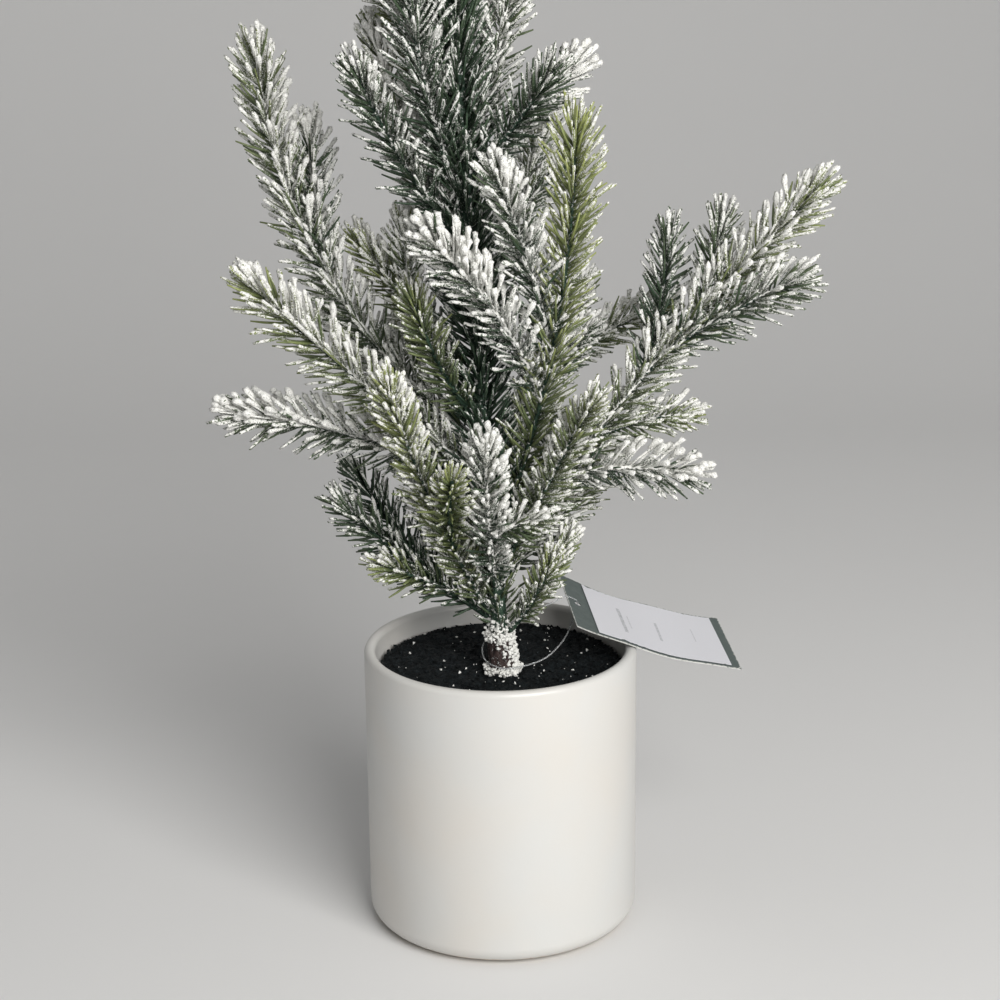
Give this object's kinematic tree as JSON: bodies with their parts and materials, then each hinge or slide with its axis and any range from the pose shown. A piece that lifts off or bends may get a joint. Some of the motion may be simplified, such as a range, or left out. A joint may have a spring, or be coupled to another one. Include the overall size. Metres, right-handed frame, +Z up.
{
  "type": "artificial tabletop tree",
  "caption": "Small artificial frosted pine tree with bendable branches in a plain round ceramic pot, with a blank hang tag on a nylon loop.",
  "frame": {"origin": "centre of the underside, on the surface that the pot stands on", "axes": "+Z up the pot, -Y towards the front of the tree, +X to the right of the front"},
  "size_m": [0.2865, 0.1469, 0.6002],
  "materials": {
    "pot_glaze": "gloss",
    "foam_pad": "matte",
    "cement": "matte",
    "foam": "matte",
    "soil_grit": "matte",
    "steel_rod": "satin",
    "bark_sleeve": "matte",
    "trunk_tape": "matte",
    "branch_wire": "satin",
    "needles": "matte",
    "tag_card": "matte",
    "label_paper": "satin",
    "nylon": "gloss"
  },
  "bodies": {
    "potted_trunk": {"pot": "pot_glaze", "base_pad": "foam_pad", "ballast": "cement", "foam_plug": "foam", "soil": "soil_grit", "trunk_rod": "steel_rod", "trunk_sleeve": "bark_sleeve", "trunk_wrap": "trunk_tape", "leader_sprig": "needles"},
    "branch_low_left": {"wire_low_left": "branch_wire", "sprig_low_left": "needles"},
    "branch_low_right": {"wire_low_right": "branch_wire", "sprig_low_right": "needles"},
    "branch_front_left": {"wire_front_left": "branch_wire", "sprig_front_left": "needles"},
    "branch_front_frost": {"wire_front_frost": "branch_wire", "sprig_front_frost": "needles"},
    "branch_left_middle": {"wire_left_middle": "branch_wire", "sprig_left_middle": "needles"},
    "branch_left_raised": {"wire_left_raised": "branch_wire", "sprig_left_raised": "needles"},
    "branch_left_tall": {"wire_left_tall": "branch_wire", "sprig_left_tall": "needles"},
    "branch_left_behind": {"wire_left_behind": "branch_wire", "sprig_left_behind": "needles"},
    "branch_middle_left": {"wire_middle_left": "branch_wire", "sprig_middle_left": "needles"},
    "branch_front_tall": {"wire_front_tall": "branch_wire", "sprig_front_tall": "needles"},
    "branch_right_spread": {"wire_right_spread": "branch_wire", "sprig_right_spread": "needles"},
    "branch_right_front": {"wire_right_front": "branch_wire", "sprig_right_front": "needles"},
    "branch_upper_left": {"wire_upper_left": "branch_wire", "sprig_upper_left": "needles"},
    "branch_upper_right": {"wire_upper_right": "branch_wire", "sprig_upper_right": "needles"},
    "branch_top_front": {"wire_top_front": "branch_wire", "sprig_top_front": "needles"},
    "branch_top_right": {"wire_top_right": "branch_wire", "sprig_top_right": "needles"},
    "branch_top_left": {"wire_top_left": "branch_wire", "sprig_top_left": "needles"},
    "branch_back_low_left": {"wire_back_low_left": "branch_wire", "sprig_back_low_left": "needles"},
    "branch_back_low_right": {"wire_back_low_right": "branch_wire", "sprig_back_low_right": "needles"},
    "branch_back_middle_left": {"wire_back_middle_left": "branch_wire", "sprig_back_middle_left": "needles"},
    "branch_back_middle_right": {"wire_back_middle_right": "branch_wire", "sprig_back_middle_right": "needles"},
    "branch_back_high_left": {"wire_back_high_left": "branch_wire", "sprig_back_high_left": "needles"},
    "branch_back_high_right": {"wire_back_high_right": "branch_wire", "sprig_back_high_right": "needles"},
    "nylon_loop": {"tag_loop": "nylon"},
    "hang_tag": {"tag_card": "tag_card", "tag_label": "label_paper"}
  },
  "joints": [
    {"name": "bend_low_left", "type": "hinge", "parent": "potted_trunk", "child": "branch_low_left", "pos_m": [-0.00649, -0.00931, 0.158], "axis": [0.0178, 0.9998, 0], "range_deg": [-15, 10]},
    {"name": "bend_low_right", "type": "hinge", "parent": "potted_trunk", "child": "branch_low_right", "pos_m": [0.00522, -0.01229, 0.15169], "axis": [-0.3863, -0.9224, 0], "range_deg": [-15, 10]},
    {"name": "bend_front_left", "type": "hinge", "parent": "potted_trunk", "child": "branch_front_left", "pos_m": [-0.00562, -0.01247, 0.162], "axis": [-0.5858, 0.8104, 0], "range_deg": [-15, 4]},
    {"name": "bend_front_frost", "type": "hinge", "parent": "potted_trunk", "child": "branch_front_frost", "pos_m": [-0.00221, -0.01374, 0.174], "axis": [-0.9946, 0.1039, 0], "range_deg": [-15, 7]},
    {"name": "bend_left_middle", "type": "hinge", "parent": "potted_trunk", "child": "branch_left_middle", "pos_m": [-0.01042, -0.00368, 0.224], "axis": [0.0305, 0.9995, 0], "range_deg": [-15, 6]},
    {"name": "bend_left_raised", "type": "hinge", "parent": "potted_trunk", "child": "branch_left_raised", "pos_m": [-0.0106, -0.00439, 0.228], "axis": [-0.1451, 0.9894, 0], "range_deg": [-7, 10]},
    {"name": "bend_left_tall", "type": "hinge", "parent": "potted_trunk", "child": "branch_left_tall", "pos_m": [-0.01141, -0.00096, 0.244], "axis": [0.2638, 0.9646, 0], "range_deg": [-15, 9]},
    {"name": "bend_left_behind", "type": "hinge", "parent": "potted_trunk", "child": "branch_left_behind", "pos_m": [-0.01267, 0.00181, 0.272], "axis": [0.454, 0.891, 0], "range_deg": [-15, 10]},
    {"name": "bend_middle_left", "type": "hinge", "parent": "potted_trunk", "child": "branch_middle_left", "pos_m": [-0.01088, -0.00545, 0.254], "axis": [-0.6446, 0.7646, 0], "range_deg": [-15, 10]},
    {"name": "bend_front_tall", "type": "hinge", "parent": "potted_trunk", "child": "branch_front_tall", "pos_m": [0.00165, -0.00805, 0.204], "axis": [-0.4631, -0.8863, 0], "range_deg": [-11, 3]},
    {"name": "bend_right_spread", "type": "hinge", "parent": "potted_trunk", "child": "branch_right_spread", "pos_m": [0.00333, -0.00645, 0.188], "axis": [0.0428, -0.9991, 0], "range_deg": [-15, 10]},
    {"name": "bend_right_front", "type": "hinge", "parent": "potted_trunk", "child": "branch_right_front", "pos_m": [0.00239, -0.01058, 0.184], "axis": [-0.6082, -0.7938, 0], "range_deg": [-15, 7]},
    {"name": "bend_upper_left", "type": "hinge", "parent": "potted_trunk", "child": "branch_upper_left", "pos_m": [-0.0169, 0.0005, 0.338], "axis": [-0.3306, 0.9438, 0], "range_deg": [-15, 5]},
    {"name": "bend_upper_right", "type": "hinge", "parent": "potted_trunk", "child": "branch_upper_right", "pos_m": [-0.00881, 0.00084, 0.368], "axis": [-0.4368, -0.8996, 0], "range_deg": [-10, 10]},
    {"name": "bend_top_front", "type": "hinge", "parent": "potted_trunk", "child": "branch_top_front", "pos_m": [-0.01727, -0.00038, 0.358], "axis": [-0.6127, 0.7903, 0], "range_deg": [-15, 5]},
    {"name": "bend_top_right", "type": "hinge", "parent": "potted_trunk", "child": "branch_top_right", "pos_m": [-0.00937, 0.00532, 0.38], "axis": [0.3482, -0.9374, 0], "range_deg": [-15, 10]},
    {"name": "bend_top_left", "type": "hinge", "parent": "potted_trunk", "child": "branch_top_left", "pos_m": [-0.02018, 0.00565, 0.394], "axis": [0.3642, 0.9313, 0], "range_deg": [-6, 10]},
    {"name": "bend_back_low_left", "type": "hinge", "parent": "potted_trunk", "child": "branch_back_low_left", "pos_m": [-0.00441, -0.00382, 0.166], "axis": [0.8258, 0.564, 0], "range_deg": [-15, 10]},
    {"name": "bend_back_low_right", "type": "hinge", "parent": "potted_trunk", "child": "branch_back_low_right", "pos_m": [0.00247, -0.00369, 0.176], "axis": [0.6951, -0.7189, 0], "range_deg": [-15, 10]},
    {"name": "bend_back_middle_left", "type": "hinge", "parent": "potted_trunk", "child": "branch_back_middle_left", "pos_m": [-0.00871, -0.0009, 0.216], "axis": [0.6189, 0.7855, 0], "range_deg": [-15, 10]},
    {"name": "bend_back_middle_right", "type": "hinge", "parent": "potted_trunk", "child": "branch_back_middle_right", "pos_m": [-0.00205, 0.00141, 0.23], "axis": [0.8471, -0.5314, 0], "range_deg": [-15, 10]},
    {"name": "bend_back_high_left", "type": "hinge", "parent": "potted_trunk", "child": "branch_back_high_left", "pos_m": [-0.01177, 0.00559, 0.298], "axis": [0.8943, 0.4475, 0], "range_deg": [-15, 10]},
    {"name": "bend_back_high_right", "type": "hinge", "parent": "potted_trunk", "child": "branch_back_high_right", "pos_m": [-0.00689, 0.00568, 0.302], "axis": [0.878, -0.4788, 0], "range_deg": [-15, 10]},
    {"name": "loop_swing", "type": "hinge", "parent": "potted_trunk", "child": "nylon_loop", "pos_m": [-0.00005, -0.01028, 0.149], "axis": [0, 0, 1], "range_deg": [-15, 0]},
    {"name": "tag_lift", "type": "hinge", "parent": "nylon_loop", "child": "hang_tag", "pos_m": [0.038, 0.01205, 0.15558], "axis": [0.1467, -0.9756, -0.1632], "range_deg": [0, 40]}
  ]
}
